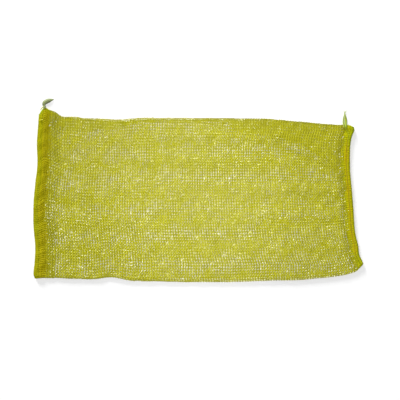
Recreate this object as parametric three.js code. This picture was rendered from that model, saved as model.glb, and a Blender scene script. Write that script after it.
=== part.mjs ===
// An empty mesh produce sack, lying flat as it was put down. A tube of yellow tape net is
// hemmed round a drawstring at the mouth, on the left, and folded and chain-stitched shut
// at the bottom, on the right. The drawstring's end and the tail of the seam's thread
// stick out beyond the far long edge. Millimetres: X runs along the sack from mouth to
// bottom, Y across it to its far edge, Z up from the surface it lies on.

import * as THREE from 'three';

// Driving dimensions
const NET_PITCH = 5.4;          // from one lengthwise tape of the net to the next
const NET_HEIGHT = 3.4;         // the two slack layers of net, one on the other
const FOLD_HEIGHT = 1.2;        // the net's long edges, where the tube is creased
const TAPE_RELIEF = 0.5;        // how far a lengthwise tape stands above the holes beside it
const MOUTH_HEM_WIDTH = 25;
const MOUTH_HEM_HEIGHT = 6.4;   // over the drawstring that runs inside
const BOTTOM_HEM_WIDTH = 15;
const BOTTOM_HEM_HEIGHT = 5.2;
const HEM_EDGE_HEIGHT = 2.6;
const GATHER_PITCH = 9.5;       // the small pleats that the drawstring leaves in its hem
const GATHER_RELIEF = 0.7;
const DRAWSTRING_WIDTH = 6;
const DRAWSTRING_THICKNESS = 1.2;
const LOOSE_STRAND_WIDTH = 1.6;
const SEAM_THREAD_WIDTH = 2.4;
const SEAM_THREAD_HEIGHT = 1.4;
const SEAM_FROM_EDGE = 5.5;     // the line of stitches, inside the bottom hem's outer edge
const SEAM_NEAR_END = -133;      // the line's first and last stitch on the hem, as Y
const SEAM_FAR_END = 112;
const STITCH_PITCH = 7;
const SEAM_RIPPLE = 0.3;        // how far the stitches pucker the hem
const TAIL_WIDTH = 7;           // where the seam's thread leaves the hem
const GAP = 0.3;                // kept between neighbouring pieces

// The outline as the sack lies, as [place, value] pairs in millimetres from its middle.
// The long edges give Y at X, and the two ends give X at Y.
const FAR_EDGE = [
  [-300, 143], [-290, 156], [-279, 150], [-262, 140], [-252, 136.5], [-215, 133.5],
  [-150, 132.8], [-112, 136.3], [0, 136], [105, 133.6], [161, 132.2], [236, 124.4],
  [264, 122.3], [284, 122.3], [292, 119.5],
];
const NEAR_EDGE = [
  [-307, -166], [-281, -164.2], [-196, -166.7], [-165, -163], [-130, -169], [-74, -171],
  [-20, -172.2], [76, -171.9], [123, -169.9], [189, -168.4], [227, -165.2], [264, -160.8],
  [293, -154.2], [302, -147.3], [310, -139],
];
const MOUTH_END = [
  [-166, -306.5], [-157, -309], [-134, -307.2], [-104, -306.4], [-59, -309.4],
  [-22, -309.4], [8, -306.2], [46, -302.4], [84, -302.8], [121, -300.8], [143, -299.5],
];
const BOTTOM_END = [
  [-139, 310], [-134, 307.4], [-121, 301.5], [-104, 299.4], [-82, 294.6], [-22, 290.2],
  [8, 288.7], [39, 285.5], [76, 285.5], [99, 287.6], [113, 292], [120, 291.5],
];

// Slack folds in the net, each from one [X, Y] to another, with its height and half width
const SLACK_FOLDS = [
  { from: [-82, 106], to: [154, 101], height: 1.5, spread: 9 },
  { from: [154, 101], to: [243, 54], height: 1.8, spread: 10 },
  { from: [30, 2], to: [270, 3], height: 1.3, spread: 8 },
  { from: [-110, 57], to: [90, 55], height: 1.1, spread: 9 },
  { from: [70, -43], to: [258, -46], height: 1.2, spread: 10 },
  { from: [-245, 14], to: [-140, -62], height: 0.9, spread: 14 },
  { from: [-205, 86], to: [-150, 12], height: 0.8, spread: 13 },
  { from: [-60, -120], to: [190, -128], height: 0.9, spread: 16 },
];

// A smooth curve through a few [place, value] pairs, level beyond its ends
function smoothThrough(pairs) {
  const last = pairs.length - 1;
  const slopes = pairs.map((pair, i) => {
    const before = pairs[Math.max(i - 1, 0)];
    const after = pairs[Math.min(i + 1, last)];
    return (after[1] - before[1]) / (after[0] - before[0]);
  });
  return (place) => {
    const at = THREE.MathUtils.clamp(place, pairs[0][0], pairs[last][0]);
    const i = Math.min(pairs.findLastIndex((pair) => pair[0] <= at), last - 1);
    const span = pairs[i + 1][0] - pairs[i][0];
    const t = (at - pairs[i][0]) / span;
    const risen = t * t * (3 - 2 * t);
    const start = slopes[i] * span * t * (1 - t) * (1 - t);
    const end = slopes[i + 1] * span * t * t * (t - 1);
    return pairs[i][1] * (1 - risen) + pairs[i + 1][1] * risen + start + end;
  };
}

const farEdge = smoothThrough(FAR_EDGE);
const nearEdge = smoothThrough(NEAR_EDGE);
const mouthEnd = smoothThrough(MOUTH_END);
const bottomEnd = smoothThrough(BOTTOM_END);
const mouthSeam = (y) => mouthEnd(y) + MOUTH_HEM_WIDTH;
const bottomSeam = (y) => bottomEnd(y) - BOTTOM_HEM_WIDTH;

// The point that lies a share `across` of the way from one end line to another, and a
// share `up` of the way from the near long edge to the far one
function placeBetween(startLine, endLine, across, up) {
  let x = 0;
  let y = 0;
  for (let pass = 0; pass < 6; pass += 1) {
    x = THREE.MathUtils.lerp(startLine(y), endLine(y), across);
    y = THREE.MathUtils.lerp(nearEdge(x), farEdge(x), up);
  }
  return new THREE.Vector2(x, y);
}

// A quarter-round rise from 0 at an edge to 1 a given distance inside it
function roundRise(distance, reach) {
  const short = 1 - THREE.MathUtils.clamp(distance / reach, 0, 1);
  return Math.sqrt(1 - short * short);
}

function distanceToSegment(point, from, to) {
  const start = new THREE.Vector2(...from);
  const along = new THREE.Vector2(...to).sub(start);
  const share = point.clone().sub(start).dot(along) / along.lengthSq();
  return point.distanceTo(start.addScaledVector(along, THREE.MathUtils.clamp(share, 0, 1)));
}

// How far the slack folds lift the net at a point
function slack(point) {
  return SLACK_FOLDS.reduce((sum, fold) => {
    const distance = distanceToSegment(point, fold.from, fold.to);
    return sum + fold.height * Math.exp(-((distance / fold.spread) ** 2));
  }, 0);
}

// A closed solid that lies flat: a grid of top points over a level underside
function flatSolid(columns, rows, topPoint) {
  const points = [];
  const faces = [];
  const top = (i, j) => i * (rows + 1) + j;
  for (let i = 0; i <= columns; i += 1) {
    for (let j = 0; j <= rows; j += 1) points.push(topPoint(i, j));
  }
  for (let i = 0; i < columns; i += 1) {
    for (let j = 0; j < rows; j += 1) {
      faces.push([top(i, j), top(i + 1, j), top(i + 1, j + 1)]);
      faces.push([top(i, j), top(i + 1, j + 1), top(i, j + 1)]);
    }
  }
  const rim = [];
  for (let i = 0; i < columns; i += 1) rim.push(top(i, 0));
  for (let j = 0; j < rows; j += 1) rim.push(top(columns, j));
  for (let i = columns; i > 0; i -= 1) rim.push(top(i, rows));
  for (let j = rows; j > 0; j -= 1) rim.push(top(0, j));
  const foot = points.length;
  rim.forEach((index) => points.push(points[index].clone().setZ(0)));
  rim.forEach((index, k) => {
    const next = (k + 1) % rim.length;
    faces.push([foot + k, foot + next, rim[next]], [foot + k, rim[next], index]);
  });
  const outline = rim.map((index) => new THREE.Vector2(points[index].x, points[index].y));
  THREE.ShapeUtils.triangulateShape(outline, []).forEach(([a, b, c]) => {
    faces.push([foot + a, foot + c, foot + b]);
  });
  const geometry = new THREE.BufferGeometry().setFromPoints(points);
  geometry.setIndex(faces.flat());
  geometry.computeVertexNormals();
  return geometry;
}

// The net between the hems, with each lengthwise tape as a rib at its true pitch
function netGeometry() {
  const columns = 24;
  const tapes = 56;
  const rows = tapes * 2;
  const fromHem = GAP;
  return flatSolid(columns, rows, (i, j) => {
    const startLine = (y) => mouthSeam(y) + fromHem;
    const endLine = (y) => bottomSeam(y) - fromHem;
    const place = placeBetween(startLine, endLine, i / columns, j / rows);
    const fromFold = Math.min(j, rows - j) * (NET_PITCH / 2);
    const risen = roundRise(fromFold, NET_PITCH * 2);
    const rib = j % 2 === 0 || fromFold === 0 ? 0 : TAPE_RELIEF;
    const full = NET_HEIGHT - TAPE_RELIEF + rib + slack(place);
    return new THREE.Vector3(place.x, place.y, FOLD_HEIGHT + (full - FOLD_HEIGHT) * risen);
  });
}

// The drawstring's hem: a soft tube along the outer two thirds, flatter towards the net
function mouthHemGeometry() {
  const columns = 8;
  const rows = 80;
  return flatSolid(columns, rows, (i, j) => {
    const place = placeBetween(mouthEnd, mouthSeam, i / columns, j / rows);
    const across = (i / columns) * MOUTH_HEM_WIDTH;
    const along = (j / rows) * (farEdge(place.x) - nearEdge(place.x));
    const fromEnd = Math.min(along, farEdge(place.x) - nearEdge(place.x) - along);
    const tube = Math.sin(Math.PI * THREE.MathUtils.clamp(across / (MOUTH_HEM_WIDTH * 0.72), 0, 1));
    const pleat = Math.sin((2 * Math.PI * (along + 0.35 * across)) / GATHER_PITCH);
    const lean = Math.sin((2 * Math.PI * along) / (GATHER_PITCH * 4.7));
    const crown = (MOUTH_HEM_HEIGHT - HEM_EDGE_HEIGHT - GATHER_RELIEF) * tube ** 0.7;
    const body = crown + GATHER_RELIEF * (0.6 * pleat + 0.4 * lean) * roundRise(across, 4);
    const risen = roundRise(fromEnd, 7);
    return new THREE.Vector3(place.x, place.y, HEM_EDGE_HEIGHT * (0.5 + 0.5 * risen) + body * risen);
  });
}

// The bottom hem: folded net, rolled thicker at its outer edge and bunched at both corners
function bottomHemHeight(place) {
  const across = bottomEnd(place.y) - place.x;
  const fromEnd = Math.min(place.y - nearEdge(place.x), farEdge(place.x) - place.y);
  const roll = Math.sin(Math.PI * THREE.MathUtils.clamp(across / BOTTOM_HEM_WIDTH, 0, 1)) ** 0.8;
  const bunch = 1 + 0.3 * Math.exp(-((fromEnd / 12) ** 2));
  const ripple = SEAM_RIPPLE * Math.sin((2 * Math.PI * place.y) / (STITCH_PITCH * 2)) * roll;
  const crown = (BOTTOM_HEM_HEIGHT - HEM_EDGE_HEIGHT) * roll * bunch + ripple;
  const risen = roundRise(fromEnd, 6);
  return HEM_EDGE_HEIGHT * (0.5 + 0.5 * risen) + crown * risen;
}

function bottomHemGeometry() {
  const columns = 8;
  const rows = 80;
  return flatSolid(columns, rows, (i, j) => {
    const place = placeBetween(bottomSeam, bottomEnd, i / columns, j / rows);
    return new THREE.Vector3(place.x, place.y, bottomHemHeight(place));
  });
}

// A closed tape with a rounded section along a smooth route, its width given along it
function tapeGeometry(route, steps, sides, widthAt, thicknessAt) {
  const curve = new THREE.CatmullRomCurve3(route.map((point) => new THREE.Vector3(...point)));
  const points = [];
  const faces = [];
  for (let i = 0; i <= steps; i += 1) {
    const share = i / steps;
    const middle = curve.getPointAt(share);
    const heading = curve.getTangentAt(share);
    const sideways = new THREE.Vector3(-heading.y, heading.x, 0).normalize();
    const upright = new THREE.Vector3().crossVectors(heading, sideways).normalize();
    for (let k = 0; k < sides; k += 1) {
      const turn = (2 * Math.PI * k) / sides;
      points.push(middle.clone()
        .addScaledVector(sideways, (Math.cos(turn) * widthAt(share)) / 2)
        .addScaledVector(upright, (Math.sin(turn) * thicknessAt(share)) / 2));
    }
  }
  for (let i = 0; i < steps; i += 1) {
    for (let k = 0; k < sides; k += 1) {
      const a = i * sides + k;
      const b = i * sides + ((k + 1) % sides);
      faces.push([a, b, b + sides], [a, b + sides, a + sides]);
    }
  }
  for (let k = 1; k < sides - 1; k += 1) {
    faces.push([0, k + 1, k], [steps * sides, steps * sides + k, steps * sides + k + 1]);
  }
  const geometry = new THREE.BufferGeometry().setFromPoints(points);
  geometry.setIndex(faces.flat());
  geometry.computeVertexNormals();
  return geometry;
}

// The end of the drawstring, a flat tape that bends over and tapers where it leaves the hem
function drawstringGeometry() {
  const lying = DRAWSTRING_THICKNESS * 0.6;
  const route = [
    [-290.2, 158.2, 2.2], [-290.5, 160.4, lying + 0.4], [-290.2, 163, lying],
    [-287.6, 166.1, lying], [-282.5, 169.1, lying], [-277.3, 170.6, lying],
    [-272.7, 171.4, lying],
  ];
  const width = smoothThrough([
    [0, DRAWSTRING_WIDTH * 0.5], [0.25, DRAWSTRING_WIDTH], [0.5, DRAWSTRING_WIDTH],
    [0.75, DRAWSTRING_WIDTH * 0.65], [1, DRAWSTRING_WIDTH * 0.22],
  ]);
  return tapeGeometry(route, 22, 10, width, () => DRAWSTRING_THICKNESS);
}

// A strand of the hem's net that came loose beside the drawstring
function looseStrandGeometry() {
  const lying = LOOSE_STRAND_WIDTH * 0.62;
  const route = [[-293.2, 156.4, 2.2], [-294.9, 155, 1.4], [-297, 152.4, lying]];
  const width = (share) => LOOSE_STRAND_WIDTH * (1 - 0.3 * share);
  return tapeGeometry(route, 8, 8, width, width);
}

// The seam's thread: a chain of stitches along the bottom hem that runs on as a tail
function seamThreadGeometry() {
  const stitches = Math.round((SEAM_FAR_END - SEAM_NEAR_END) / STITCH_PITCH);
  const lift = GAP + SEAM_RIPPLE + SEAM_THREAD_HEIGHT / 2;
  const route = [];
  for (let k = 0; k <= stitches; k += 1) {
    const y = THREE.MathUtils.lerp(SEAM_NEAR_END, SEAM_FAR_END, k / stitches);
    const place = new THREE.Vector2(bottomEnd(y) - SEAM_FROM_EDGE, y);
    route.push([place.x, place.y, bottomHemHeight(place) + lift]);
  }
  const stitched = route.length;
  const lying = SEAM_THREAD_HEIGHT * 0.6;
  route.push(
    [280, 117, 7], [276.5, 121.5, 5.9], [275.4, 126, 3.2], [275.2, 131.7, lying],
    [275.4, 139.2, lying], [276.1, 144.8, lying], [276.7, 150.1, lying],
  );
  const tail = stitched / route.length;
  const width = (share) => {
    const link = SEAM_THREAD_WIDTH * (0.82 + 0.18 * Math.cos(2 * Math.PI * share * route.length));
    const alongTail = THREE.MathUtils.clamp((share - tail) / (1 - tail), 0, 1);
    const spread = Math.sin(Math.PI * THREE.MathUtils.clamp(alongTail * 1.25, 0, 1));
    return link + (TAIL_WIDTH - SEAM_THREAD_WIDTH) * spread ** 1.5;
  };
  return tapeGeometry(route, 120, 6, width, () => SEAM_THREAD_HEIGHT);
}

function finish(hex, roughness) {
  return new THREE.MeshStandardMaterial({ color: hex, roughness, metalness: 0 });
}

function piece(name, geometry, material) {
  const mesh = new THREE.Mesh(geometry, material);
  mesh.name = name;
  return mesh;
}

const net = finish(0xbfbb52, 0.45);
const hem = finish(0xa39c1c, 0.5);
const sack = new THREE.Group();
sack.add(piece('sack_net', netGeometry(), net));
sack.add(piece('mouth_hem', mouthHemGeometry(), hem));
sack.add(piece('bottom_hem', bottomHemGeometry(), hem));
sack.add(piece('seam_thread', seamThreadGeometry(), finish(0xaf9f1f, 0.55)));
sack.add(piece('drawstring', drawstringGeometry(), finish(0x8c9b6e, 0.55)));
sack.add(piece('loose_strand', looseStrandGeometry(), hem));

// The origin is under the middle of the sack's box
const box = new THREE.Box3().setFromObject(sack);
const middle = box.getCenter(new THREE.Vector3());
sack.position.set(-middle.x, -middle.y, -box.min.z);

export default sack;
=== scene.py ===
"""The looks of an empty yellow mesh produce sack that lies flat, seen from straight above.

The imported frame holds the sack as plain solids. Here it is made as the real one is: a tube
of leno net, its crosswise tapes each held by a twisted pair of lengthwise ones, lying as two
slack layers that drift in and out of step, with folded and sewn hems at both ends. +X runs
from the mouth to the sewn bottom, +Y across the sack and +Z up. Shapes are worked out in
millimetres, as the frame's own edges are, and turned into metres when a mesh is made.
"""

import math

import bpy
import numpy as np
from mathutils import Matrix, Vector


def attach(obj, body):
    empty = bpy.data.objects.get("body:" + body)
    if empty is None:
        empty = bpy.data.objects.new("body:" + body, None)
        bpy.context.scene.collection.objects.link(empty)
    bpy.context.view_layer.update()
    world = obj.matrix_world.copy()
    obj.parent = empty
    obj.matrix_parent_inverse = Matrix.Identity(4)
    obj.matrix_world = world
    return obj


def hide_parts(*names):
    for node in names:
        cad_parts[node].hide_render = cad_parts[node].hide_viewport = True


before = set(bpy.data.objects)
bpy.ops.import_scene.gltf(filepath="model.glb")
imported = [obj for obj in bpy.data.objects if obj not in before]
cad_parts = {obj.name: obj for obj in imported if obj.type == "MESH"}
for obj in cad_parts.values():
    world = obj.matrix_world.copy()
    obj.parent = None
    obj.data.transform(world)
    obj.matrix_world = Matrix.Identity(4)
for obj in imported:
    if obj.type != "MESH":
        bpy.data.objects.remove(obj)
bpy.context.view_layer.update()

METRE = 1000.0

# The net. Each thickness is given for the sack's middle and for its ends.
NET_LENGTH, NET_WIDTH = 575, 305        # between the hems' seams and the long folds
ALONG_PITCH = 4.9           # from one crosswise tape, or weft, to the next
ACROSS_PITCH = 5.4          # from one twisted pair of lengthwise tapes, or warps, to the next
WEFT_WIDTH, WEFT_THICKNESS = 2.53, (0.69, 1.13)
WARP_WIDTH, WARP_THICKNESS = 1.6, (0.31, 0.5)
WARP_SPREAD = 0.52          # how far a pair's two tapes swing apart between crosswise tapes
WARP_LIFT = 0.4             # how far they stand above and below a crosswise tape
WARP_LEAN = 0.35            # how far a twisted tape leans over, in radians
TAPE_LEAN = 0.1             # how far any tape leans at random
CROSSED = 0.2               # painted shade: how much deeper a tape is painted on a crossing than beside a hole
BACKING = 0.07              # painted shade: how much deeper a tape is painted over another one than over a gap
EASED = 0.14                # how much wider tapes lie where the two layers are in step
CLOSER = 0.1                # how much wider tapes lie towards the hems
STRAY = 0.1                 # how far a strand wanders to its sides
BACK_LEVEL, FRONT_LEVEL = 0.9, 2.7      # the heights at which the two layers lie
FOLD_LEVEL = 1.7            # the height of the sack's long folds
UNDER_HEM = 7.0             # how far the net runs on into a hem
MARGIN = 8                  # tapes laid out beyond each edge before the net is clipped

# The hems
MOUTH_HEM_WIDTH, BOTTOM_HEM_WIDTH = 25.0, 15.0
HEM_EDGE_HEIGHT = 2.5
MOUTH_CROWN, BOTTOM_CROWN = 1.5, 1.4    # how far a hem's middle stands above its edges
HEM_WEFT_WIDTH, HEM_WARP_WIDTH, HEM_TAPE_THICKNESS = 2.6, 1.3, 0.3
HEM_WARP_SPREAD, HEM_WARP_LIFT = 0.45, 0.2
FOLD_PITCH = 2.1            # from one small crease along a hem to the next
DRAWN_LINE = 8.5            # from the mouth's rim to the line its hem is drawn up along
STITCH_PITCH = 7.0
SEAM_FROM_EDGE = 5.5
SEAM_START, SEAM_END = -133.0, 119.0
SEAM_EXIT = 276.0           # where along the sack the thread leaves the bottom hem
THREAD_WIDTH = 0.62

# The photograph, which looks straight down
IMAGE_PIXELS = 400
MM_PER_PIXEL = 600 / 319    # the sack's length over its pixels
MIDDLE_PIXEL = (198.4, 190.5)
LENS, SENSOR = 70.0, 36.0
SEEN_LEVEL = 2.5            # the height above the floor at which the pixels hold their size

# The sack's outline, as [place, value] pairs: the long edges give Y at X, the ends X at Y
FAR_EDGE = [
    [-300, 143], [-290, 156], [-280, 151.5], [-270, 147.8], [-261, 141.5], [-252, 138.6],
    [-232, 138.4], [-215, 136], [-190, 135.4], [-150, 133.6], [-112, 136.6], [0, 136.4],
    [105, 135.4], [125, 135], [150, 133], [236, 125], [264, 123.3], [284, 123], [292, 119.5],
]
NEAR_EDGE = [
    [-307, -166], [-281, -164.2], [-196, -166.7], [-165, -163], [-130, -169], [-74, -171],
    [-20, -172.2], [76, -171.9], [123, -169.9], [189, -168.4], [227, -165.2],
    [264, -160.8], [293, -154.2], [302, -147.3], [310, -139],
]
MOUTH_END = [
    [-166, -306.5], [-157, -309], [-134, -307.2], [-104, -306.4], [-59, -309.4],
    [-22, -309.4], [8, -306.2], [46, -302.4], [84, -302.8], [121, -300.8], [143, -299.5],
]
BOTTOM_END = [
    [-139, 310], [-134, 307.4], [-121, 301.5], [-104, 299.4], [-82, 294.6], [-22, 289.4],
    [8, 287.3], [39, 284.2], [76, 284.4], [99, 287.2], [113, 292], [120, 291.5],
]

# Slack folds in the upper layer: from one point to another, with height and half width
SLACK_FOLDS = [
    ((-82, 106), (154, 99), 0.9, 10), ((154, 99), (243, 54), 1.2, 11),
    ((30, 2), (270, 3), 0.75, 9), ((-110, 57), (90, 55), 0.65, 10),
    ((70, -43), (258, -46), 0.7, 11), ((-245, 14), (-140, -62), 0.6, 15),
    ((-205, 86), (-150, 12), 0.5, 14), ((-60, -120), (190, -128), 0.5, 17),
]

# How many tapes the upper layer is ahead of the lower one: crosswise tapes by Y, and
# lengthwise pairs by Y at a few places along the sack
WEFT_DRIFT = [
    [-170, -6.0], [-163, -5.5], [-112, -4.5], [-61, -3.5], [-14, -2.5], [50, -1.5],
    [91, -0.5], [134, 0.0],
]
WARP_DRIFT = [
    (-279, [[-134, -1.3], [-18, -1.4], [110, -1.7]]),
    (-222, [[-134, -0.1], [-18, -0.6], [57, -0.9], [110, -1.2]]),
    (-180, [[-134, 0.9], [-18, 0.0], [57, -0.2], [110, -0.8]]),
    (-119, [[-134, 1.9], [-18, 0.8], [57, 0.2], [110, -0.1]]),
    (-60, [[-134, 2.8], [-70, 1.9], [-18, 1.0], [33, 0.0], [57, -0.4], [110, -1.2]]),
    (97, [[-170, 3.5], [-102, 2.5], [-40, 1.5], [8, 0.5], [57, -0.5], [134, -2.0]]),
    (163, [[-170, 3.1], [-74, 2.7], [-40, 1.7], [8, 0.5], [57, -0.5], [134, -2.0]]),
]

# How far the tuck along the far edge reaches into the sack, by X
TUCK_DEPTH = [
    [-279, 28], [-245, 25], [-200, 22], [-150, 17], [-115, 8], [-60, 7], [50, 10], [78, 26],
    [154, 35], [200, 45], [219, 58], [243, 71], [262, 100], [276, 120],
]
ENDLESS = 1e9               # a wave length so long that a wave doesn't change along it


# ---------------------------------------------------------------- shared mathematics

def through(pairs):
    """A smooth curve through a few [place, value] pairs, level beyond its ends."""
    places, values = np.array(pairs, float).T
    index = np.arange(len(places))
    before, after = np.maximum(index - 1, 0), np.minimum(index + 1, len(places) - 1)
    slopes = (values[after] - values[before]) / (places[after] - places[before])

    def at(place):
        place = np.clip(np.asarray(place, float), places[0], places[-1])
        i = np.clip(np.searchsorted(places, place, side="right") - 1, 0, len(places) - 2)
        span = places[i + 1] - places[i]
        t = (place - places[i]) / span
        risen = t * t * (3 - 2 * t)
        bend = slopes[i] * t * (1 - t) ** 2 + slopes[i + 1] * t * t * (t - 1)
        return values[i] * (1 - risen) + values[i + 1] * risen + span * bend

    return at


def mix(a, b, share):
    """The value a share of the way from a to b."""
    return a + (b - a) * share


def smooth_step(low, high, value):
    """A smooth rise from 0 where value is low to 1 where it is high."""
    t = np.clip((value - low) / (high - low), 0, 1)
    return t * t * (3 - 2 * t)


def round_rise(distance, reach):
    """A quarter-round rise from 0 at an edge to 1 at a given distance inside it."""
    short = 1 - np.clip(distance / reach, 0, 1)
    return np.sqrt(1 - short * short)


def waves(x, y, *terms):
    """A sum of slanted waves, each given as (height, length in X, length in Y, shift)."""
    return sum(
        height * np.sin(2 * np.pi * (x / long_x + y / long_y) + shift)
        for height, long_x, long_y, shift in terms
    )


far_edge, near_edge = through(FAR_EDGE), through(NEAR_EDGE)
mouth_end, bottom_end = through(MOUTH_END), through(BOTTOM_END)
weft_drift, tuck_depth = through(WEFT_DRIFT), through(TUCK_DEPTH)
warp_drifts = [(x, through(by_y)) for x, by_y in WARP_DRIFT]


def mouth_seam(y):
    return mouth_end(y) + MOUTH_HEM_WIDTH


def bottom_seam(y):
    return bottom_end(y) - BOTTOM_HEM_WIDTH


def place_between(start_line, end_line, across, up):
    """The points a share `across` from one end line to another and `up` from the near edge
    to the far one."""
    x, y = np.zeros_like(across * up), np.zeros_like(across * up)
    for _ in range(6):
        x = mix(start_line(y), end_line(y), across)
        y = mix(near_edge(x), far_edge(x), up)
    return x, y


def from_fold(x, y):
    """How far a point lies inside the nearer long edge."""
    return np.minimum(y - near_edge(x), far_edge(x) - y)


def slack(x, y):
    """How far the slack folds lift the upper layer."""
    lift = np.zeros_like(x)
    for start, end, height, spread in SLACK_FOLDS:
        along = np.subtract(end, start)
        share = ((x - start[0]) * along[0] + (y - start[1]) * along[1]) / (along @ along)
        share = np.clip(share, 0, 1)
        away = np.hypot(x - start[0] - share * along[0], y - start[1] - share * along[1])
        lift += height * np.exp(-((away / spread) ** 2))
    return lift


# ---------------------------------------------------------------- tapes and threads

LENS_RING = np.array([(-0.5, 0), (0, -0.5), (0.5, 0), (0, 0.5)])
ROUND_RING = 0.5 * np.array([
    (math.cos(turn), math.sin(turn)) for turn in np.arange(8) * 2 * math.pi / 8
])


def across_all(value, count):
    """One value for each of count points, from one number or from one for each."""
    return np.broadcast_to(np.asarray(value, float), (count,))


class Tapes:
    """Flat tapes and round threads, each a ring swept along a route, in one mesh."""

    def __init__(self, ring=LENS_RING):
        self.ring = ring
        self.points, self.faces, self.tones, self.map_places = [], [], [], []
        self.used = 0
        self.strands = 0

    def lay(self, route, width, thickness, tone, roll=0.0):
        """Adds one strand along a route of points in millimetres. Its width, thickness,
        tone and roll are each one number or one for every point."""
        route = np.asarray(route, float)
        count, sides = len(route), len(self.ring)
        heading = np.gradient(route, axis=0)
        heading /= np.linalg.norm(heading, axis=1)[:, None]
        across = np.stack([-heading[:, 1], heading[:, 0], np.zeros(count)], 1)
        across /= np.maximum(np.linalg.norm(across, axis=1), 1e-9)[:, None]
        up = np.cross(heading, across)
        roll = across_all(roll, count)[:, None]
        turned = across * np.cos(roll) + up * np.sin(roll)
        raised = up * np.cos(roll) - across * np.sin(roll)
        wide = turned[:, None] * (across_all(width, count)[:, None, None] * self.ring[:, :1])
        thick = raised[:, None] * (across_all(thickness, count)[:, None, None] * self.ring[:, 1:])
        self.points.append((route[:, None] + wide + thick).reshape(-1, 3))
        self.tones.append(np.repeat(across_all(tone, count), sides))

        step = np.arange(count - 1)[:, None]
        side = np.arange(sides)[None, :]
        after = (side + 1) % sides
        corners = [step * sides + side, step * sides + after,
                   (step + 1) * sides + after, (step + 1) * sides + side]
        self.faces.append(np.stack(corners, -1).reshape(-1, 4) + self.used)
        run = np.linspace(0, 1, count)
        spread = [(run[:-1, None], side), (run[:-1, None], side + 1),
                  (run[1:, None], side + 1), (run[1:, None], side)]
        here = [
            np.stack(np.broadcast_arrays(u, self.strands + 0.1 + 0.8 * v / sides), -1)
            for u, v in spread
        ]
        self.map_places.append(np.stack(here, 2).reshape(-1, 4, 2))
        for ring_start, order in ((0, slice(None, None, -1)), (count - 1, slice(None))):
            ends = (ring_start * sides + np.arange(sides))[order]
            for first in range(1, sides - 2, 2):
                self.faces.append(ends[[0, first, first + 1, first + 2]][None] + self.used)
                flat = np.full((1, 4, 2), (run[ring_start], self.strands + 0.5))
                self.map_places.append(flat)
        self.used += count * sides
        self.strands += 1

    def build(self, name, material, smooth=True):
        """The strands as one object, with a tone at each point and a map that gives each
        strand a strip of its own."""
        places = np.concatenate(self.map_places).reshape(-1, 2)
        places[:, 1] /= self.strands
        return mesh_object(
            name, np.concatenate(self.points), np.concatenate(self.faces), material,
            np.concatenate(self.tones), places, smooth,
        )


def mesh_object(name, points, quads, material, tones, map_places, smooth=True):
    """A mesh of quads, its points given in millimetres."""
    mesh = bpy.data.meshes.new(name)
    mesh.vertices.add(len(points))
    mesh.vertices.foreach_set("co", (points / METRE).astype(np.float32).ravel())
    mesh.loops.add(quads.size)
    mesh.loops.foreach_set("vertex_index", quads.astype(np.int32).ravel())
    mesh.polygons.add(len(quads))
    mesh.polygons.foreach_set("loop_start", np.arange(0, quads.size, 4, dtype=np.int32))
    mesh.update(calc_edges=True)
    mesh.polygons.foreach_set("use_smooth", np.full(len(quads), smooth))
    tone = mesh.attributes.new("tone", "FLOAT", "POINT")
    tone.data.foreach_set("value", tones.astype(np.float32))
    layer = mesh.uv_layers.new(name="OFBake")
    layer.data.foreach_set("uv", map_places.astype(np.float32).ravel())
    mesh.validate()
    mesh.materials.append(material)
    piece = bpy.data.objects.new(name, mesh)
    bpy.context.scene.collection.objects.link(piece)
    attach(piece, "root")
    return piece


# ---------------------------------------------------------------- materials

def noise_about_zero(tree, scale, detail, amount):
    """A three-dimensional noise that swings by amount / 2 each way."""
    place = tree.nodes.new("ShaderNodeTexCoord")
    noise = tree.nodes.new("ShaderNodeTexNoise")
    noise.inputs["Scale"].default_value = scale
    noise.inputs["Detail"].default_value = detail
    tree.links.new(place.outputs["Object"], noise.inputs["Vector"])
    swing = tree.nodes.new("ShaderNodeMath")
    swing.operation = "MULTIPLY_ADD"
    swing.inputs[1].default_value = amount
    swing.inputs[2].default_value = -amount / 2
    tree.links.new(noise.outputs["Fac"], swing.inputs[0])
    return noise.outputs["Fac"], swing.outputs[0]


def tape_material(name, colours, roughness, gloss, streaks=0.4):
    """Polyethylene tape: each strand's tone picks its colour from a short scale, with faint
    streaks of thicker and thinner film."""
    material = bpy.data.materials.new(name)
    material.use_nodes = True
    tree = material.node_tree
    nodes, links = tree.nodes, tree.links
    shader = nodes["Principled BSDF"]
    shader.inputs["Specular IOR Level"].default_value = gloss
    tone = nodes.new("ShaderNodeAttribute")
    tone.attribute_name = "tone"
    streak, streak_swing = noise_about_zero(tree, 420, 3, streaks)
    _, patch_swing = noise_about_zero(tree, 38, 2, 0.9 * streaks)
    total = tone.outputs["Fac"]
    for swing in (streak_swing, patch_swing):
        add = nodes.new("ShaderNodeMath")
        add.operation = "ADD"
        add.use_clamp = True
        links.new(total, add.inputs[0])
        links.new(swing, add.inputs[1])
        total = add.outputs[0]
    scale = nodes.new("ShaderNodeValToRGB")
    stops = scale.color_ramp.elements
    while len(stops) < len(colours):
        stops.new(0.5)
    for i, colour in enumerate(colours):
        stops[i].position = i / (len(colours) - 1)
        stops[i].color = (*colour, 1)
    links.new(total, scale.inputs["Fac"])
    links.new(scale.outputs["Color"], shader.inputs["Base Color"])

    sheen = nodes.new("ShaderNodeMapRange")
    sheen.inputs["To Min"].default_value = roughness - 0.12
    sheen.inputs["To Max"].default_value = roughness + 0.12
    links.new(streak, sheen.inputs["Value"])
    links.new(sheen.outputs["Result"], shader.inputs["Roughness"])
    bump = nodes.new("ShaderNodeBump")
    bump.inputs["Strength"].default_value = 0.25
    bump.inputs["Distance"].default_value = 0.0002
    links.new(streak, bump.inputs["Height"])
    links.new(bump.outputs["Normal"], shader.inputs["Normal"])
    return material


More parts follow.
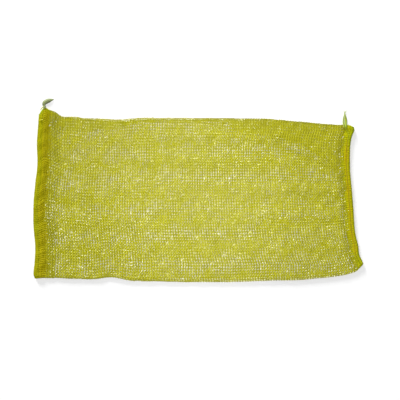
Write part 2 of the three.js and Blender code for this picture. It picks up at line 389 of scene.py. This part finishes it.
OCHRE, OLIVE, GREEN = (0.395, 0.335, 0.0), (0.345, 0.335, 0.0), (0.27, 0.34, 0.002)
# The net's scale runs from its deepest tone, which painted shade moves towards, through its
# lighter one to a pale stop of painted glint.
DULL, LIT, PAINTED_GLINT = (0.268, 0.257, 0.0), (0.565, 0.55, 0.01), (0.9, 0.89, 0.4)
NET_TAPE = tape_material("net_tape", [DULL, LIT, PAINTED_GLINT], 0.24, 0.4, 0.2)
HEM_TAPE = tape_material("hem_tape", [OCHRE, OLIVE, GREEN], 0.5, 0.06)
# The bottom hem's ochre and olive are a lighter copy of the mouth hem's: painted light for its
# better-lit end.
LIT_BOTTOM_HEM_TAPE = tape_material("lit_bottom_hem_tape", [(0.49, 0.39, 0.0), (0.405, 0.4, 0.0), GREEN], 0.5, 0.06)
SEAM_THREAD = tape_material(
    "seam_thread", [(0.42, 0.30, 0.004), (0.36, 0.46, 0.02), (0.33, 0.39, 0.18)], 0.5, 0.2)
DRAWSTRING = tape_material("drawstring", [(0.17, 0.2, 0.07), (0.3, 0.345, 0.16)], 0.5, 0.2)


# ---------------------------------------------------------------- the net

WEFTS = round(NET_LENGTH / ALONG_PITCH)
WARPS = round(NET_WIDTH / ACROSS_PITCH)


def drift(x, y):
    """How many crosswise tapes and lengthwise pairs the upper layer is ahead of the lower."""
    before, curve = warp_drifts[0]
    pairs = curve(y)
    for place, curve in warp_drifts[1:]:
        share = np.clip((x - before) / (place - before), 0, 1)
        pairs = mix(pairs, curve(y), share)
        before = place
    pairs = pairs + waves(x, y, (0.1, 57, -83, 0.0), (0.08, -31, -44, 2.0))
    return weft_drift(y) + waves(x, y, (0.12, 66, 90, 1.0), (0.08, -35, 41, 0.0)), pairs


def net_place(weft, warp, side):
    """Where a layer's crosswise tape meets its lengthwise pair. side is 1 where it drifts as
    the upper layer does, and -1 where it drifts as the lower one does."""
    x, y = place_between(mouth_seam, bottom_seam, weft / WEFTS, warp / WARPS)
    for _ in range(6):
        ahead_x, ahead_y = drift(x, y)
        across = (weft - side * ahead_x / 2) / WEFTS
        up = (warp - side * ahead_y / 2) / WARPS
        x, y = place_between(mouth_seam, bottom_seam, across, up)
    return x, y


def front_level(x, y):
    pucker = waves(x, y, (0.22, 47, 61, 0.3), (0.18, -33, 29, 1.9), (0.14, 19, -71, 4.0))
    full = FRONT_LEVEL + slack(x, y) + pucker
    return mix(FOLD_LEVEL, full, round_rise(from_fold(x, y), 8))


def back_level(x, y):
    pucker = waves(x, y, (0.07, 53, 44, 2.0), (0.06, -27, 36, 0.7))
    return mix(FOLD_LEVEL - 0.3, BACK_LEVEL + pucker, smooth_step(0, 4, from_fold(x, y)))


def twisted_pair(x, y, z, turn, spread=WARP_SPREAD, lift=WARP_LIFT):
    """The routes of two tapes that twist round each other, each with the hand it twists to."""
    for hand in (1, -1):
        sideways, upwards = hand * spread * np.sin(turn), hand * lift * np.cos(turn)
        yield hand, np.stack([x, y + sideways, z + upwards], 1)


def lay_fold_pairs(tapes, rng):
    """The twisted pairs that lie in the sack's two long folds."""
    halves = np.arange(-6, 2 * WEFTS + 7)
    for edge, inward in ((near_edge, 1), (far_edge, -1)):
        for inset in (1.1, 3.2):
            x = -285 + halves / 2 * ALONG_PITCH
            swing = waves(x, x, (0.25, 71, ENDLESS, inset), (0.2, 37, ENDLESS, 2))
            y = edge(x) + inward * (inset + swing)
            a, b = runs_of(between_hems(x, y))[0]
            x, y, turn = x[a:b], y[a:b], halves[a:b] * math.pi / 2
            for hand, route in twisted_pair(x, y, front_level(x, y) - 0.1, turn):
                # painted shade: the pairs in the long folds get a deep tone
                tone = 0.1 + 0.05 * rng.standard_normal(len(route))
                lean = WARP_LEAN * hand * np.sin(turn)
                tapes.lay(route, WARP_WIDTH * 1.15, WARP_THICKNESS[1], tone, lean)


def runs_of(inside):
    """The first and last-plus-one place of each unbroken run of True of two or more."""
    edges = np.flatnonzero(np.diff(np.concatenate([[0], inside.astype(int), [0]])))
    return [(a, b) for a, b in edges.reshape(-1, 2) if b - a >= 2]


def over_tuck(x, y):
    """1 where the sack's net lies over the tucked net, 0 away from it."""
    return smooth_step(-5, 5, tuck_depth(x) - (far_edge(x) - y))


def strand_tone(x, y, spans, ahead, rng):
    """A strand's own tone, with lighter and darker stretches along it, and painted shade. As the
    film lets light through, it is painted deeper on a crossing (spans is -1 there and 1
    between two) and where the upper layer is a whole number of tapes ahead and so lies right
    over the lower one. It is painted deepest in a fold, where the net turns out of the light and
    lies denser, and over the tucked net, where shade falls between its layers; it is also
    darker beside a hem."""
    tucked = over_tuck(x, y)
    varied = 0.02 * rng.standard_normal() + 0.05 * rng.standard_normal(len(x))
    # painted shade on crossings and where one layer lies right over the other
    varied = varied + CROSSED * spans - BACKING * np.cos(2 * math.pi * ahead)
    hemmed = smooth_step(26, 6, x - mouth_seam(y)) + 0.8 * smooth_step(14, 3, bottom_seam(y) - x)
    folded = smooth_step(4, 1, from_fold(x, y))
    # painted shade in the folds and over the tucked net, and darker beside a hem
    return 0.25 + varied * (1 - 0.7 * tucked) - 0.15 * folded - 0.02 * tucked - 0.18 * hemmed


def paint_glint_spots(tone, x, y, rng):
    """Small pale spots of painted glint, where creased lengthwise tape catches the light: few
    near the mouth and in the tucked net, more along the slack folds."""
    likely = 0.003 + 0.012 * smooth_step(-190, -60, x) + 0.03 * np.minimum(slack(x, y), 0.8)
    likely = likely * (1 - over_tuck(x, y))
    return np.where(rng.random(len(x)) < likely, 0.95, tone)


def width_share(x, ahead):
    """How wide a tape lies, by its place along the sack and by how many tapes the upper
    layer is ahead of the lower one."""
    return 1 + EASED * np.cos(2 * math.pi * ahead) + CLOSER * smooth_step(100, 290, np.abs(x))


def thickness_at(x, in_middle, at_ends):
    """How thick the tapes stand, flatter in the sack's middle than at its ends."""
    return mix(in_middle, at_ends, smooth_step(60, 200, np.abs(x)))


def wander(place, amount, rng):
    """How far a strand strays sideways along its length."""
    stray = 0.5 * amount * rng.standard_normal()
    for _ in range(4):
        length, shift = 20 + 60 * rng.random() ** 1.5, 2 * math.pi * rng.random()
        height = 0.7 * amount * rng.standard_normal()
        stray = stray + height * np.sin(2 * math.pi * place / length + shift)
    return stray


def half_steps(count):
    """The half steps of the mesh across a layer of so many tapes, with a margin each side."""
    return np.arange(-2 * MARGIN, 2 * (count + MARGIN) + 1)


def lay_wefts(tapes, side, level, keep, rng, shift=0.0):
    """The crosswise tapes of one layer, clipped where keep says. shift moves the layer on
    by a share of the mesh both ways."""
    halves = half_steps(WARPS)
    warp = halves / 2 + shift
    for weft in range(-MARGIN, WEFTS + MARGIN + 1):
        x, y = net_place(np.full(len(warp), weft + shift), warp, side)
        x = x + wander(y, STRAY, rng)
        for a, b in runs_of(keep(x, y)):
            xs, ys, spans = clipped(x, y, halves, a, b)
            ahead = drift(xs, ys)[0]
            tone = strand_tone(xs, ys, spans, ahead, rng)
            roll = TAPE_LEAN * rng.standard_normal(len(xs))
            route = np.stack([xs, ys, level(xs, ys)], 1)
            uneven = 1 + 0.08 * rng.standard_normal(len(xs))
            width = WEFT_WIDTH * width_share(xs, ahead) * uneven
            tapes.lay(route, width, thickness_at(xs, *WEFT_THICKNESS), tone, roll)


def clipped(x, y, halves, a, b):
    """A run of a crosswise tape, stretched to end on the long edges it reaches, and for
    each of its points 1 between two crossings and -1 on one."""
    run = np.stack([x[a:b], y[a:b], np.where(halves[a:b] % 2, 1, -1)])
    for end, beyond, edge in ((0, a - 1, near_edge), (-1, b, far_edge)):
        if not 0 <= beyond < len(x):
            continue
        inner, outer = run[1, end] - edge(run[0, end]), y[beyond] - edge(x[beyond])
        if inner * outer < 0:
            share = inner / (inner - outer)
            on_edge = mix(run[:2, end], np.array([x[beyond], y[beyond]]), share)
            reached = np.append(on_edge, 0)[:, None]
            run = np.hstack([reached, run] if end == 0 else [run, reached])
    return run


ALL_ROWS = range(-MARGIN, WARPS + MARGIN + 1)
NEAR_ROWS, FAR_ROWS = ALL_ROWS[:WARPS // 2 + MARGIN], ALL_ROWS[WARPS // 2 + MARGIN:]


def lay_warps(tapes, side, level, keep, rng, shift=0.0, rows=ALL_ROWS):
    """The lengthwise pairs of one layer: two tapes that twist half a turn round each other
    from one crosswise tape to the next, one over it and one under it."""
    halves = half_steps(WEFTS)
    twist = halves * math.pi / 2
    spans = np.where(halves % 2, 1, -1)
    for warp in rows:
        x, y = net_place(halves / 2 + shift, np.full(len(halves), warp + shift), side)
        y = y + wander(x, STRAY, rng)
        for a, b in runs_of(keep(x, y)):
            xs, ys, turn = x[a:b], y[a:b], twist[a:b]
            ahead = drift(xs, ys)[1]
            for hand, route in twisted_pair(xs, ys, level(xs, ys), turn):
                tone = strand_tone(xs, ys, spans[a:b], ahead, rng)
                # painted glints: a few points turn pale
                tone = paint_glint_spots(tone, xs, ys, rng)
                roll = WARP_LEAN * hand * np.sin(turn) + TAPE_LEAN * rng.standard_normal(b - a)
                uneven = 1 + 0.1 * rng.standard_normal(b - a)
                width = WARP_WIDTH * width_share(xs, ahead) * uneven
                tapes.lay(route, width, thickness_at(xs, *WARP_THICKNESS), tone, roll)


def between_hems(x, y):
    """Where the net runs, some of it inside the hems."""
    return (x > mouth_seam(y) - UNDER_HEM) & (x < bottom_seam(y) + UNDER_HEM)


def in_sack(x, y):
    return between_hems(x, y) & (from_fold(x, y) > 0.3)


def in_tuck(x, y):
    return in_sack(x, y) & (far_edge(x) - y < tuck_depth(x))


def in_mouth_allowance(x, y):
    reach = 9 + 4 * np.sin(y / 31) + 8 * smooth_step(90, 130, y)
    return in_sack(x, y) & (x < mouth_seam(y) + reach)


def outer_net(name, side, level, rng):
    """One of the sack's two layers, its lengthwise tapes in a near and a far half. The upper
    layer's crosswise piece also holds the pairs in the sack's long folds."""
    wefts, near, far = Tapes(), Tapes(), Tapes()
    lay_wefts(wefts, side, level, in_sack, rng)
    lay_warps(near, side, level, in_sack, rng, rows=NEAR_ROWS)
    lay_warps(far, side, level, in_sack, rng, rows=FAR_ROWS)
    if side > 0:
        lay_fold_pairs(wefts, rng)
    named = (("crosswise", wefts), ("lengthwise_near", near), ("lengthwise_far", far))
    return [tapes.build(name + "_net_" + part, NET_TAPE, smooth=False) for part, tapes in named]


def inner_net(name, layers, keep, rng):
    """Net that lies in between the sack's two layers. Each of its own layers has a side, the
    share of the way up at which it lies and a shift of the mesh."""
    tapes = Tapes()
    for side, share, shift in layers:
        def level(x, y, share=share):
            return mix(back_level(x, y), front_level(x, y), share)
        lay_wefts(tapes, side, level, keep, rng, shift)
        lay_warps(tapes, side, level, keep, rng, shift)
    return tapes.build(name, NET_TAPE, smooth=False)


def make_net():
    """The sack's two layers, the net tucked in along its far edge and the mouth hem's own
    allowance, which lies behind the hem."""
    rng = np.random.default_rng(7)
    made = outer_net("upper", 1.0, front_level, rng) + outer_net("lower", -1.0, back_level, rng)
    tucked = ((1.0, 0.68, 0.5), (-1.0, 0.34, 0.5))
    made.append(inner_net("far_edge_tuck", tucked, in_tuck, rng))
    allowance = ((1.0, 0.66, 0.5), (-1.0, 0.36, 0.3))
    made.append(inner_net("mouth_hem_allowance", allowance, in_mouth_allowance, rng))
    for piece in made:
        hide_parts("sack_net")


# ---------------------------------------------------------------- the hems

def mouth_height(x, y):
    """The top of the drawstring's hem."""
    across = x - mouth_end(y)
    end = round_rise(from_fold(x, y), 7)
    tube = round_rise(across, 6) * smooth_step(0, 15, MOUTH_HEM_WIDTH - across)
    valley = 0.12 * np.exp(-(((across - DRAWN_LINE) / 1.6) ** 2))
    drawn = waves(x, y, (0.3, 61, 44, 0.4), (0.22, -37, 23, 2.2))
    crown = MOUTH_CROWN * tube + (drawn - valley) * tube
    return HEM_EDGE_HEIGHT * (0.5 + 0.5 * end) + crown * end


def bottom_height(x, y):
    """The top of the bottom hem."""
    across = bottom_end(y) - x
    end = round_rise(from_fold(x, y), 6)
    roll = round_rise(across, 4) * smooth_step(0, 13, BOTTOM_HEM_WIDTH - across)
    bunch = 1 + 0.3 * np.exp(-((from_fold(x, y) / 12) ** 2))
    crown = BOTTOM_CROWN * roll * bunch
    groove = 0.6 * np.exp(-(((across - SEAM_FROM_EDGE) / 1.5) ** 2))
    return HEM_EDGE_HEIGHT * (0.5 + 0.5 * end) + (crown - groove) * end


def mouth_tone(x, y):
    """Ochre where the hem's layers lie thickest, olive along its rim and green where the
    drawstring gathers its far end."""
    thick = smooth_step(6.5, 11, x - mouth_end(y))
    gathered = smooth_step(9, 2, far_edge(x) - y)
    return 0.5 - 0.34 * thick + 0.5 * gathered


def bottom_tone(x, y):
    """Ochre along the stitches, olive beside them and green in both corners."""
    across = bottom_end(y) - x
    thick = np.exp(-(((across - SEAM_FROM_EDGE) / 4) ** 2)) * smooth_step(108, 70, y)
    rim = smooth_step(6, 2, across)
    ends = (0.25 + 0.75 * rim) * smooth_step(70, 100, y) + 0.4 * smooth_step(-118, -132, y)
    return 0.5 - 0.42 * thick * smooth_step(-130, -112, y) + 0.12 * rim + 0.25 * ends


def folded_core(name, start_line, end_line, height, tone, material, size, relief):
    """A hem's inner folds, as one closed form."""
    columns, rows = size
    across, up = np.meshgrid(
        np.linspace(0, 1, columns + 1), np.linspace(0, 1, rows + 1), indexing="ij")
    x, y = place_between(start_line, end_line, across, up)
    top = height(x, y) + relief(x, y, across)
    rim = (across == 0) | (across == 1) | (up == 0) | (up == 1)
    under = np.where(rim, 1.0, 0.12)
    upper = np.stack([x, y, np.where(rim, 1.4, top)], -1).reshape(-1, 3)
    lower = np.stack([x, y, under], -1).reshape(-1, 3)
    index = np.arange(len(upper)).reshape(columns + 1, rows + 1)
    quads = [index[:-1, :-1], index[1:, :-1], index[1:, 1:], index[:-1, 1:]]
    quads = np.stack(quads, -1).reshape(-1, 4)
    loop = np.concatenate([index[:-1, 0], index[-1, :-1], index[:0:-1, -1], index[0, :0:-1]])
    after, count = np.roll(loop, -1), len(upper)
    walls = np.stack([loop, loop + count, after + count, after], 1)
    faces = np.concatenate([quads, quads[:, ::-1] + count, walls])
    points = np.concatenate([upper, lower])
    streaks = waves(
        points[:, 0], points[:, 1], (0.05, ENDLESS, 37, 0.2), (0.05, 3.1, 210, 1))
    places = points[faces.ravel(), :2]
    places = (places - places.min(0)) / np.ptp(places, axis=0)
    tones = tone(points[:, 0], points[:, 1]) + streaks
    return mesh_object(name, points, faces, material, tones, places)


def hem_net(name, start_line, end_line, height, tone, material, counts, rng):
    """The net drawn over a hem's folds: crosswise tapes side by side along it and twisted
    lengthwise pairs across it, closer together than in the sack's sides."""
    along, pairs, links = counts
    cover = Tapes()
    rows = 3 * pairs
    for share in np.linspace(0.02, 0.98, along):
        share = share + 0.006 * rng.standard_normal()
        up = np.linspace(0.002, 0.998, rows)
        x, y = place_between(start_line, end_line, np.full(rows, share), up)
        x = x + waves(y, y, (0.35, 60 + 50 * rng.random(), ENDLESS, 6 * rng.random()))
        own = tone(x, y) + 0.05 * rng.standard_normal()
        z = height(x, y) + 0.05 + 0.08 * rng.standard_normal()
        width = HEM_WEFT_WIDTH + 0.25 * rng.standard_normal(rows)
        roll = 0.12 * rng.standard_normal(rows)
        cover.lay(np.stack([x, y, z], 1), width, HEM_TAPE_THICKNESS, own, roll)
    steps = np.linspace(0.004, 0.996, 2 * links + 1)
    turn = np.arange(2 * links + 1) * math.pi / 2
    for up in np.linspace(0.008, 0.992, pairs):
        up = up + 0.0015 * rng.standard_normal()
        x, y = place_between(start_line, end_line, steps, np.full(len(steps), up))
        y = y + waves(x, x, (0.35, 30 + 20 * rng.random(), ENDLESS, 6 * rng.random()))
        z = height(x, y) + 0.12
        own = tone(x, y) + 0.07 * rng.standard_normal()
        for hand, route in twisted_pair(x, y, z, turn, HEM_WARP_SPREAD, HEM_WARP_LIFT):
            lean = 0.3 * hand * np.sin(turn)
            cover.lay(route, HEM_WARP_WIDTH, HEM_TAPE_THICKNESS, own, lean)
    return cover.build(name, material)


def make_mouth_hem():
    def relief(x, y, across):
        wobble = waves(x, y, (0.5, ENDLESS, 41, 0.0), (0.3, ENDLESS, 17, 1.0))
        folds = np.abs(np.sin(np.pi * (x - mouth_end(y) + wobble) / FOLD_PITCH))
        inner = round_rise(np.minimum(across, 1 - across) * MOUTH_HEM_WIDTH, 3)
        return (0.2 * folds - 0.3) * inner

    core = folded_core("mouth_hem_folds", mouth_end, mouth_seam, mouth_height, mouth_tone,
                       HEM_TAPE, (40, 330), relief)
    net = hem_net("mouth_hem_net", mouth_end, mouth_seam, mouth_height, mouth_tone,
                  HEM_TAPE, (14, 84, 10), np.random.default_rng(11))
    for piece in (core, net):
        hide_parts("mouth_hem")


def make_bottom_hem():
    def relief(x, y, across):
        wobble = waves(x, y, (0.4, ENDLESS, 35, 0.5), (0.25, ENDLESS, 13, 2.0))
        folds = np.abs(np.sin(np.pi * (bottom_end(y) - x + wobble) / FOLD_PITCH))
        pucker = 0.2 * np.sin(2 * np.pi * y / STITCH_PITCH)
        inner = round_rise(np.minimum(across, 1 - across) * BOTTOM_HEM_WIDTH, 3)
        return (0.2 * folds + pucker - 0.3) * inner

    core = folded_core("bottom_hem_folds", bottom_seam, bottom_end, bottom_height,
                       bottom_tone, LIT_BOTTOM_HEM_TAPE, (28, 300), relief)
    net = hem_net("bottom_hem_net", bottom_seam, bottom_end, bottom_height, bottom_tone,
                  LIT_BOTTOM_HEM_TAPE, (9, 70, 6), np.random.default_rng(13))
    for piece in (core, net):
        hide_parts("bottom_hem")


# ---------------------------------------------------------------- threads and tails

def smooth_route(points, count):
    """A smooth route of count points through a few chosen ones."""
    points = np.array(points, float)
    lengths = np.concatenate([[0], np.cumsum(np.linalg.norm(np.diff(points, axis=0), axis=1))])
    at = np.linspace(0, lengths[-1], count)
    return np.stack([through(np.stack([lengths, axis], 1).tolist())(at) for axis in points.T], 1)


def lay_along(tapes, points, widths, count, thickness, tone, roll):
    """One strand along a smooth route through a few points, with its widths spread evenly."""
    route = smooth_route(points, count)
    width = np.interp(np.linspace(0, 1, count), np.linspace(0, 1, len(widths)), widths)
    tapes.lay(route, width, thickness, tone, roll)
    return route, width


def make_chain_stitch():
    chain = Tapes(ROUND_RING)
    links = round((SEAM_END - SEAM_START) / (STITCH_PITCH / 2))
    half = 0.62 * (SEAM_END - SEAM_START) / links
    around = np.linspace(0, 2 * np.pi, 15)
    for k in range(links):
        y = mix(SEAM_START, SEAM_END, (k + 0.5) / links) + half * np.cos(around)
        swing = 0.85 * np.sin(around) * (1 + 0.35 * np.cos(around))
        line = bottom_end(y) - SEAM_FROM_EDGE
        x = mix(line, SEAM_EXIT, smooth_step(100, 120, y)) + swing
        z = bottom_height(x, y) + 0.25 + 0.3 * np.cos(around)
        tone = 0.12 + 0.4 * smooth_step(85, 112, y)
        chain.lay(np.stack([x, y, z], 1), THREAD_WIDTH, THREAD_WIDTH, tone)
    return chain.build("chain_stitch", SEAM_THREAD)


def make_thread_tail():
    """The tail that the chain stitch runs out into, as three strands with their points,
    widths and tone."""
    strands = [
        ([(273.6, 118, 4.2), (273.3, 122.5, 3.4), (272.8, 128, 1.6), (273.2, 135, 0.7),
          (275, 143, 0.6), (276.6, 147, 0.9), (278.6, 150.8, 0.5)],
         [2.4, 2.6, 2.8, 2.2, 1.7, 1.4, 0.9], 0.7),
        ([(277.6, 118, 4.6), (277.6, 122.5, 3.8), (278.2, 128, 2.0), (277.9, 134, 1.2),
          (276.4, 142, 1.1), (275, 147, 0.7), (273.9, 150.6, 0.5)],
         [2.8, 3.6, 4.2, 3.8, 2.2, 1.3, 0.8], 0.62),
        ([(275.6, 116, 5.6), (275.4, 121, 4.6), (275.5, 127, 2.4), (275.6, 134, 1.5),
          (275.9, 141, 1.4)],
         [1.4, 1.6, 1.8, 1.5, 0.8], 0.5),
    ]
    tail, count = Tapes(), 26
    for points, widths, tone in strands:
        roll = 0.3 * np.sin(np.linspace(0, 5, count))
        lay_along(tail, points, widths, count, 0.55, tone, roll)
    return tail.build("seam_thread_tail", SEAM_THREAD)


def make_seam_thread():
    for piece in (make_chain_stitch(), make_thread_tail()):
        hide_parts("seam_thread")


def make_drawstring():
    """The drawstring's end: a flat tape that leaves the hem through a gathered neck, with a
    strand along its edge and one along its middle."""
    tail, count = Tapes(), 34
    spine = [(-289.6, 154, 4.0), (-290, 158, 2.4), (-290.7, 161.4, 1.2), (-290.4, 164.4, 0.8),
             (-287.4, 166.9, 0.9), (-283, 168.9, 1.2), (-277.6, 170.4, 0.9), (-272.4, 171.4, 0.6)]
    widths = [4.2, 4.2, 6.2, 8.2, 8.6, 7.6, 4.6, 1.4]
    share = np.linspace(0, 1, count)
    route, width = lay_along(tail, spine, widths, count, 0.35, 0.5, 0.15 * np.sin(share * 9))
    edge = route + np.stack([
        1.6 * np.sin(share * 11), 1.5 * np.cos(share * 9), 0.4 + 0.1 * np.sin(share * 20)], 1)
    tail.lay(edge[:28], width[:28] * 0.3, 0.35, 0.15, 0.2)
    tail.lay(edge[4:30] + (1.2, -1.0, 0.1), width[4:30] * 0.24, 0.3, 0.6, -0.3)
    piece = tail.build("drawstring_end", DRAWSTRING)
    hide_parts("drawstring")


def make_loose_strand():
    """A tape that has come out of the hem beside the drawstring, and a pale one that lies
    across the hem's far end."""
    loose, count = Tapes(), 14
    stray = [(-291.0, 157.2, 3.0), (-293.2, 156.2, 2.4), (-295.2, 154.6, 1.5),
             (-297.2, 152.2, 0.7)]
    lay_along(loose, stray, [1.7, 1.3], count, 0.5, 0.25, 0.0)
    laid = [(-301.5, 131, 1.2), (-299.5, 131.4, 4.0), (-296, 132.2, 5.6), (-291.5, 132.6, 6.2)]
    lay_along(loose, laid, [1.3, 1.3], count, 0.35, 0.55, 0.0)
    piece = loose.build("loose_strands", NET_TAPE)
    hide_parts("loose_strand")


# ---------------------------------------------------------------- floor, light and camera

def make_floor():
    """A plain pale floor a hair below the sack, wide enough to fill any view."""
    half, level = 12.0, -0.0002
    material = bpy.data.materials.new("floor")
    material.use_nodes = True
    shader = material.node_tree.nodes["Principled BSDF"]
    shader.inputs["Base Color"].default_value = (0.97, 0.97, 0.97, 1)
    shader.inputs["Roughness"].default_value = 0.8
    shader.inputs["Specular IOR Level"].default_value = 0.1
    mesh = bpy.data.meshes.new("floor")
    corners = [(-half, -half, 0), (half, -half, 0), (half, half, 0), (-half, half, 0)]
    mesh.from_pydata(corners, [], [(0, 1, 2, 3)])
    mesh.materials.append(material)
    floor = bpy.data.objects.new("floor", mesh)
    bpy.context.scene.collection.objects.link(floor)
    floor.location.z = level


def make_lamp(name, place, size, power):
    """A soft round lamp that looks at the middle of the sack."""
    lamp = bpy.data.lights.new(name, "AREA")
    lamp.shape = "DISK"
    lamp.size = size
    lamp.energy = power
    lamp_object = bpy.data.objects.new(name, lamp)
    lamp_object.location = place
    pitch = math.atan2(math.hypot(place[0], place[1]), place[2])
    lamp_object.rotation_euler = (pitch, 0, math.atan2(place[0], -place[1]))
    lamp_object.visible_camera = False
    bpy.context.scene.collection.objects.link(lamp_object)


def make_spot(name, place, size, opening, power):
    """A round pool of light on the middle of the sack, its opening in degrees."""
    spot = bpy.data.lights.new(name, "SPOT")
    spot.energy, spot.shadow_soft_size = power, size
    spot.spot_size, spot.spot_blend = math.radians(opening), 1.0
    spot_object = bpy.data.objects.new(name, spot)
    spot_object.location = place
    spot_object.rotation_euler = (-Vector(place)).to_track_quat("-Z", "Y").to_euler()
    bpy.context.scene.collection.objects.link(spot_object)


def make_light():
    """A soft light from straight above, a low one from the far side that throws the sack's
    shadow to the near side and the right, and a round pool of light on the sack's middle."""
    make_lamp("top_key", (0.0, 0.0, 3.2), 0.3, 54)
    make_lamp("low_key", (-3.2, 7.5, 1.5), 2.2, 1120)
    make_spot("top_pool", (0.0, 0.0, 2.0), 0.05, 15, 28)
    world = bpy.data.worlds.new("studio")
    world.use_nodes = True
    sky = world.node_tree.nodes["Background"]
    sky.inputs["Color"].default_value = (1, 1, 1, 1)
    sky.inputs["Strength"].default_value = 0.3
    bpy.context.scene.world = world
    bpy.context.scene.view_settings.view_transform = "Standard"


def make_camera():
    """Straight above the sack, at the height from which it fills the photograph's pixels."""
    camera = bpy.data.cameras.new("camera")
    camera.lens, camera.sensor_width = LENS, SENSOR
    camera_object = bpy.data.objects.new("camera", camera)
    frame_width = IMAGE_PIXELS * MM_PER_PIXEL / METRE
    camera_object.location = (
        (IMAGE_PIXELS / 2 - MIDDLE_PIXEL[0]) * MM_PER_PIXEL / METRE,
        (MIDDLE_PIXEL[1] - IMAGE_PIXELS / 2) * MM_PER_PIXEL / METRE,
        frame_width * LENS / SENSOR + SEEN_LEVEL / METRE,
    )
    bpy.context.scene.collection.objects.link(camera_object)
    bpy.context.scene.camera = camera_object


make_camera()
make_light()
make_floor()
make_net()
make_mouth_hem()
make_bottom_hem()
make_seam_thread()
make_drawstring()
make_loose_strand()
